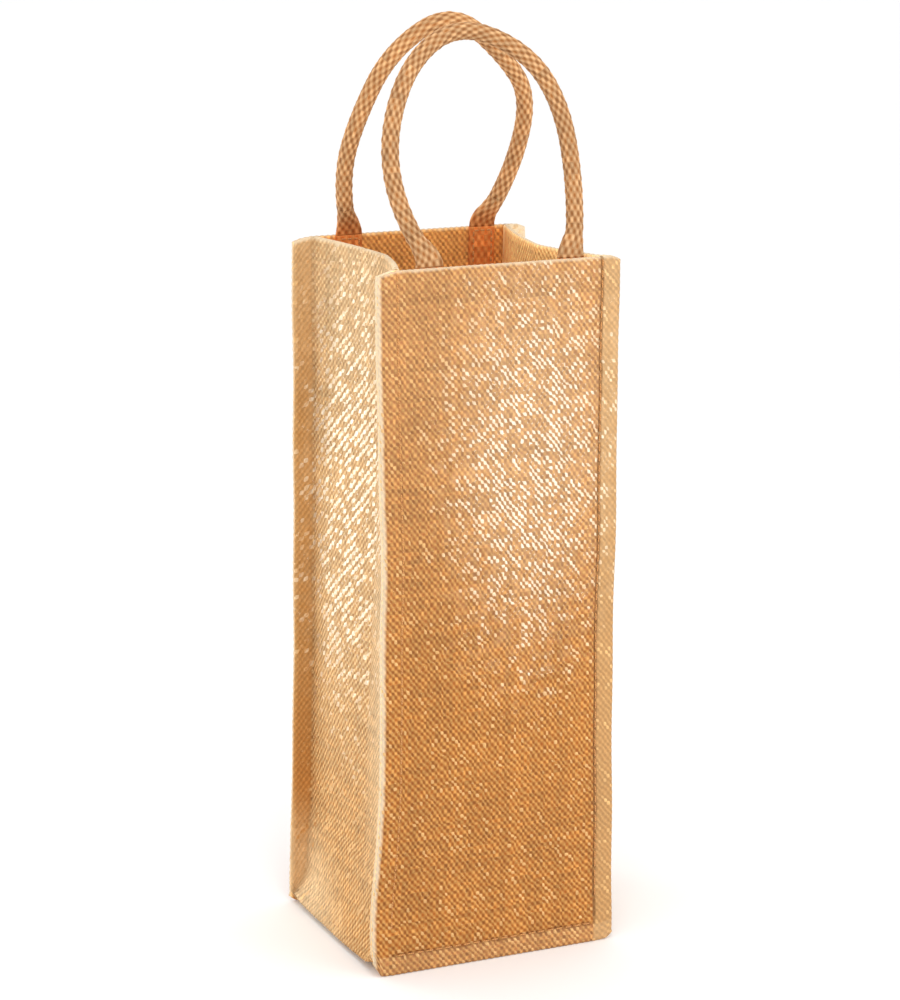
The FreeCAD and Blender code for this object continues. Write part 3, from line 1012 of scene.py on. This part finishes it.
def zone_colour(n, colour, zone, glow, margin, tone, plain, crowned):
    """The cloth's colour with its seam allowance, its painted light and sheen, its painted edge highlights,
    its painted shade low on the sides and its inner face, painted lighter.
    """
    soft = n.ramp(plain, 0.5, 0.5)
    pressed = n.times(soft, n.ramp(crowned, 0.34, 0.84))
    colour = n.paint(n.times(zone["margin"], 0.8), colour, margin, pressed)
    # Painted light and sheen, and a paler wash in the painted glint patch.
    colour = n.paint(n.times(zone["pale_light"], 0.55), colour, PALE_LIGHT_COLOUR, tone)
    colour = n.paint(n.times(glow, 0.18), colour, PALE_LIGHT_COLOUR, tone)
    # Painted highlights on the folded edges and corners.
    colour = n.paint(n.times(zone["edge_highlight"], 0.75), colour, EDGE_HIGHLIGHT_COLOUR, soft)
    # Painted shade low on the sides, strongest on the seam allowances.
    low_shade = n.times(zone["low_shade"], n.ramp(zone["margin"], 0.65, 0.2))
    colour = n.tint(low_shade, colour, LOW_SHADE_TINT)
    # Painted light: the inner faces are painted lighter where the bag's inside is in shade.
    return n.tint(zone["inside"], colour, INSIDE_LIGHT_TINT)


def woven(name, valley, crown, slant, zones=None, margin=None, relief=0.35, tilt=0.0, sheen=0.1, coat=0.0,
          seed=0.0, roughness=0.72, yarn=(YARN_ACROSS, YARN_ALONG), foot=None, shine=0.31, glint=(1.0, 1.0)):
    """Plain-woven jute. Crowns join along a diagonal by the slant. With zones, some crowns are bright metal
    yarn: shine is how much more of it the painted glint patch has, glint is a spot's size in yarns, and tilt
    is how far a spot turns its own way. With a foot, given as two heights and a tint, the cloth takes the
    tint below them, as painted shade."""
    n = Nodes(name)
    u, v = n.yarns()
    if zones:
        u = n.plus(u, n.ramp(n.noise(n.join(u, v, seed + 0.3), 0.3, 1.0), YARN_SHIFT, -YARN_SHIFT / 2))
        v = n.plus(v, n.ramp(n.noise(n.join(u, v, seed + 0.7), 0.3, 1.0), YARN_SHIFT, -YARN_SHIFT / 2))
    column, row, height = lattice(n, u, v, slant)
    cell, _ = n.random(n.join(column, row, seed))
    column_random, _ = n.random(n.join(column, 17.0, seed))
    row_random, _ = n.random(n.join(31.0, row, seed))
    size = n.join(n.times(u, yarn[0]), n.times(v, yarn[1]), seed)
    patch = n.noise(size, 0.045, 3.0)
    slub = n.noise(n.vector("MULTIPLY", size, (2.2, 0.16, 1.0)), 1.0, 2.0)
    fuzz = n.noise(size, 5.5, 3.0, 0.65)
    zone, contrast = None, 1.0
    if zones:
        cluster = n.noise(size, 0.16, 2.0)
        zone = zones(n, u, v, cluster)
        contrast = n.ramp(zone["margin"], -0.3, 1.0)

    # Crowns take the lighter colour and valleys the darker one: painted light on the crowns and painted shade
    # in the hollows between yarns, beside the bump.
    crowned = n.math("POWER", height, 1.25)
    lit = n.ramp(n.minus(crowned, 0.5), contrast, 0.5)
    plain = n.times(n.vary(patch, 0.36), n.vary(slub, 0.24), n.vary(fuzz, 0.36))
    tone = n.times(n.vary(cell, 0.34), n.vary(column_random, 0.16), n.vary(row_random, 0.16), plain)
    colour = n.scale(n.mix(lit, linear(*valley), linear(*crown)), tone)
    if foot:
        low, high, tint = foot
        parts = n.add("SeparateXYZ", {0: n.add("TexCoord").outputs["Object"]})
        colour = n.tint(n.fall(parts.outputs[2], low * MM, high * MM), colour, tint)

    bumps = n.times(n.plus(n.times(height, contrast), n.times(fuzz, 0.22)), n.ramp(cell, 0.35, 0.8))
    normal = n.add("Bump", {"Strength": 1.0, "Distance": relief * MM, "Height": bumps}).outputs[0]
    rough = n.ramp(fuzz, 0.2, roughness - 0.1)
    sockets = {"Sheen_Weight": sheen, "Sheen_Roughness": 0.45, "Sheen_Tint": linear(255, 232, 190),
               "Specular_IOR_Level": 0.3, "Coat_Weight": coat, "Coat_Roughness": 0.22}
    if zone:
        warm = n.fade(n.noise(size, 0.3, 3.0, 0.6), 0.42, 0.66)
        colour = n.tint(n.times(warm, 0.6), colour, WARM_TINT)
        outside = n.opposite(zone["inside"])
        glow = n.times(zone["glow"], outside)
        colour = zone_colour(n, colour, zone, glow, margin, tone, plain, crowned)
        bright, way = metal_yarn(n, u, v, slant, zone, glow, cluster, shine, glint, seed)
        bright = n.math("MULTIPLY", bright, n.ramp(column_random, 0.3, 0.75), clamp=True)
        turned = n.vector("SCALE", n.vector("SCALE", way, tilt), bright)
        normal = n.vector("NORMALIZE", n.vector("ADD", normal, turned))
        rough = n.ramp(bright, 0.35 - roughness, rough, clamp=True)
        sockets["Metallic"] = n.times(bright, 0.6)
        # painted glints: metal crowns are painted near white in the glint patch
        metal = n.mix(glow, linear(*METAL_DIM), linear(*METAL_BRIGHT))
        colour = n.mix(n.times(bright, 0.85), colour, metal)
        # painted shade in the seam grooves
        colour = n.tint(n.times(zone["groove"], outside), colour, GROOVE_SHADE_TINT)
    return n.finish(Base_Color=colour, Roughness=rough, Normal=normal, **sockets)


def thread(name, colour):
    """Twisted sewing thread."""
    n = Nodes(name)
    u, v = n.yarns()
    twist = n.ramp(n.math("SINE", n.plus(n.times(u, 9.0), n.times(v, 12.0))), 0.5, 0.5)
    fuzz = n.noise(n.add("NewGeometry").outputs["Position"], 900.0, 3.0)
    tone = n.plus(n.times(twist, 0.35), n.ramp(fuzz, 0.5, 0.5))
    bump = n.add("Bump", {"Strength": 0.8, "Distance": 0.12 * MM, "Height": twist})
    return n.finish(Base_Color=n.scale(linear(*colour), tone), Roughness=n.ramp(fuzz, 0.2, 0.6),
                    Normal=bump.outputs[0], Sheen_Weight=0.25)


def rope_fibre(name, colour):
    """The rope's core: undyed fibres twisted round its line."""
    n = Nodes(name)
    where = n.add("NewGeometry").outputs["Position"]
    strands = n.noise(n.vector("MULTIPLY", where, (900.0, 900.0, 160.0)), 1.0, 3.0)
    bump = n.add("Bump", {"Strength": 0.7, "Distance": 0.2 * MM, "Height": strands})
    return n.finish(Base_Color=n.scale(linear(*colour), n.ramp(strands, 0.6, 0.6)),
                    Roughness=n.ramp(strands, 0.2, 0.7), Normal=bump.outputs[0], Sheen_Weight=0.3)


def materials():
    """Every material by its name, with the weave's valleys first and its crowns second."""
    rope = {"relief": 0.25, "yarn": ROPE_YARN}
    return {
        "front": woven("jute_front", (150, 83, 23), (213, 156, 84), SLANT, panel_zones, (192, 148, 96),
                       tilt=0.35),
        # jute_sides is the same cloth as jute_front in paler colours: painted sheen and painted light on the
        # sides.
        "sides": woven("jute_sides", (172, 114, 52), (236, 198, 140), -SLANT, strip_zones, (190, 137, 74),
                       tilt=0.35, seed=3.0, shine=0.42, glint=(1.75, 1.3)),
        "lining": woven("lining_film", (150, 78, 26), (222, 152, 84), SLANT, relief=0.1, sheen=0.0, coat=0.3,
                        roughness=0.5, seed=5.0),
        "front_rope": woven("rope_cover_front", (146, 90, 40), (214, 170, 122), ROPE_SLANT, seed=7.0, **rope),
        # rope_cover_back is the front rope's cloth made lighter, as painted light, and darker and more orange
        # near its feet, as painted shade with orange light bounced off the bag's inside.
        "back_rope": woven("rope_cover_back", (157, 97, 45), (227, 180, 127), ROPE_SLANT, seed=8.0,
                           foot=(HEIGHT, HEIGHT + 14.0, (1.05, 0.74, 0.5)), **rope),
        # tab_cloth is the rope's cloth painted more orange: painted shade with orange light bounced off the
        # bag's inside.
        "tab": woven("tab_cloth", (205, 108, 44), (238, 154, 82), ROPE_SLANT, relief=0.2, seed=9.0,
                     yarn=ROPE_YARN),
        "thread": thread("seam_thread", (204, 140, 74)),
        "core": rope_fibre("rope_core", (214, 190, 150))}


# ---- camera, floor and light

def camera():
    a, e, r = math.radians(AZIMUTH), math.radians(ELEVATION), math.radians(ROLL)
    back = Vector((math.sin(a) * math.cos(e), -math.cos(a) * math.cos(e), math.sin(e)))
    right = Vector((0, 0, 1)).cross(back).normalized()
    up = back.cross(right)
    right, up = right * math.cos(r) + up * math.sin(r), up * math.cos(r) - right * math.sin(r)
    aim = Vector((0, 0, AIM_HEIGHT)) + right * AIM_ACROSS + up * AIM_UP
    data = bpy.data.cameras.new("camera")
    data.lens = LENS
    data.sensor_width = 36.0
    data.clip_start, data.clip_end = 0.01, 100.0
    holder = new_object("camera", data)
    turn = Matrix((right, up, back)).transposed().to_4x4()
    holder.matrix_world = Matrix.Translation(aim + back * DISTANCE) @ turn
    bpy.context.scene.camera = holder


def floor():
    mesh = bpy.data.meshes.new("floor")
    corners = [(x * FLOOR_HALF, y * FLOOR_HALF, 0) for x, y in ((-1, -1), (1, -1), (1, 1), (-1, 1))]
    mesh.from_pydata(corners, [], [(0, 1, 2, 3)])
    n = Nodes("floor_paper")
    white = (FLOOR_WHITE, FLOOR_WHITE, FLOOR_WHITE, 1.0)
    mesh.materials.append(n.finish(Base_Color=white, Roughness=0.9, Specular_IOR_Level=0.1))
    new_object("floor", mesh)


def light(name, position, aim, size, watts):
    data = bpy.data.lights.new(name, "AREA")
    data.shape = "RECTANGLE"
    data.size, data.size_y = size
    data.energy = watts
    holder = new_object(name, data)
    holder.location = position
    holder.rotation_mode = "QUATERNION"
    holder.rotation_quaternion = (Vector(aim) - Vector(position)).to_track_quat("-Z", "Y")
    holder.visible_camera = False


def lights():
    world = bpy.data.worlds.new("studio")
    world.use_nodes = True
    background = world.node_tree.nodes["Background"].inputs
    background["Color"].default_value = (1.0, 1.0, 1.0, 1.0)
    background["Strength"].default_value = WORLD_LIGHT
    bpy.context.scene.world = world
    for name, settings in LIGHTS.items():
        light(name, *settings)
    bpy.context.scene.view_settings.view_transform = "Standard"


# ---- the object

def cloth(looks, rng):
    """The two panels and the strip, each with its film, and how each sheet lies flat."""
    front = panel("front_panel_cloth", -1, looks["front"], rng)
    back = panel("back_panel_cloth", 1, looks["front"], rng)
    outer, inner = strip_grids()
    gusset = strip("gusset_strip_cloth", outer, inner, looks["sides"], rng)
    films = [panel_film("front_lining", -1, looks["lining"]), panel_film("back_lining", 1, looks["lining"]),
             strip_film("gusset_lining", inner, looks["lining"])]
    for piece, node in ((front, "front_panel"), (back, "back_panel"), (gusset, "gusset_strip")):
        stands_for(node)
    for piece, node in zip(films, ("front_film", "back_film", "gusset_film")):
        stands_for(node)


def seams(looks, rng):
    for name, panel_side in (("front", -1), ("back", 1)):
        for label, side in (("left_seam", -1), ("right_seam", 1)):
            piece = side_seam(f"{name}_{label}_stitches", panel_side, side, looks["thread"], rng)
            stands_for(f"{name}_{label}_thread")
        piece = foot_seam(f"{name}_foot_seam_stitches", panel_side, looks["thread"], rng)
        stands_for(f"{name}_foot_seam_thread")


def handles(looks, rng):
    """Both covers, the stitches on their tabs, and the look of the rope's core."""
    for name, side, route, tabs, lean in (("front", -1, FRONT_LOOP, FRONT_TABS, FRONT_LEAN),
                                          ("back", 1, BACK_LOOP, BACK_TABS, BACK_LEAN)):
        handle(name, side, route, tabs, lean, {"rope": looks[f"{name}_rope"], "tab": looks["tab"]}, rng)
    for name, side, tabs in (("front", -1, FRONT_TABS), ("back", 1, BACK_TABS)):
        for end, x in zip(("left", "right"), tabs):
            piece = tab_stitches(f"{name}_handle_{end}_tab_thread", side, x, looks["thread"], rng)
            stands_for(f"{name}_handle_{end}_stitches")
        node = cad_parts[f"{name}_handle_core"]
        node.data.materials.clear()
        node.data.materials.append(looks["core"])


def build():
    rng = np.random.default_rng(11)
    looks = materials()
    cloth(looks, rng)
    seams(looks, rng)
    handles(looks, rng)


camera()
floor()
lights()
build()
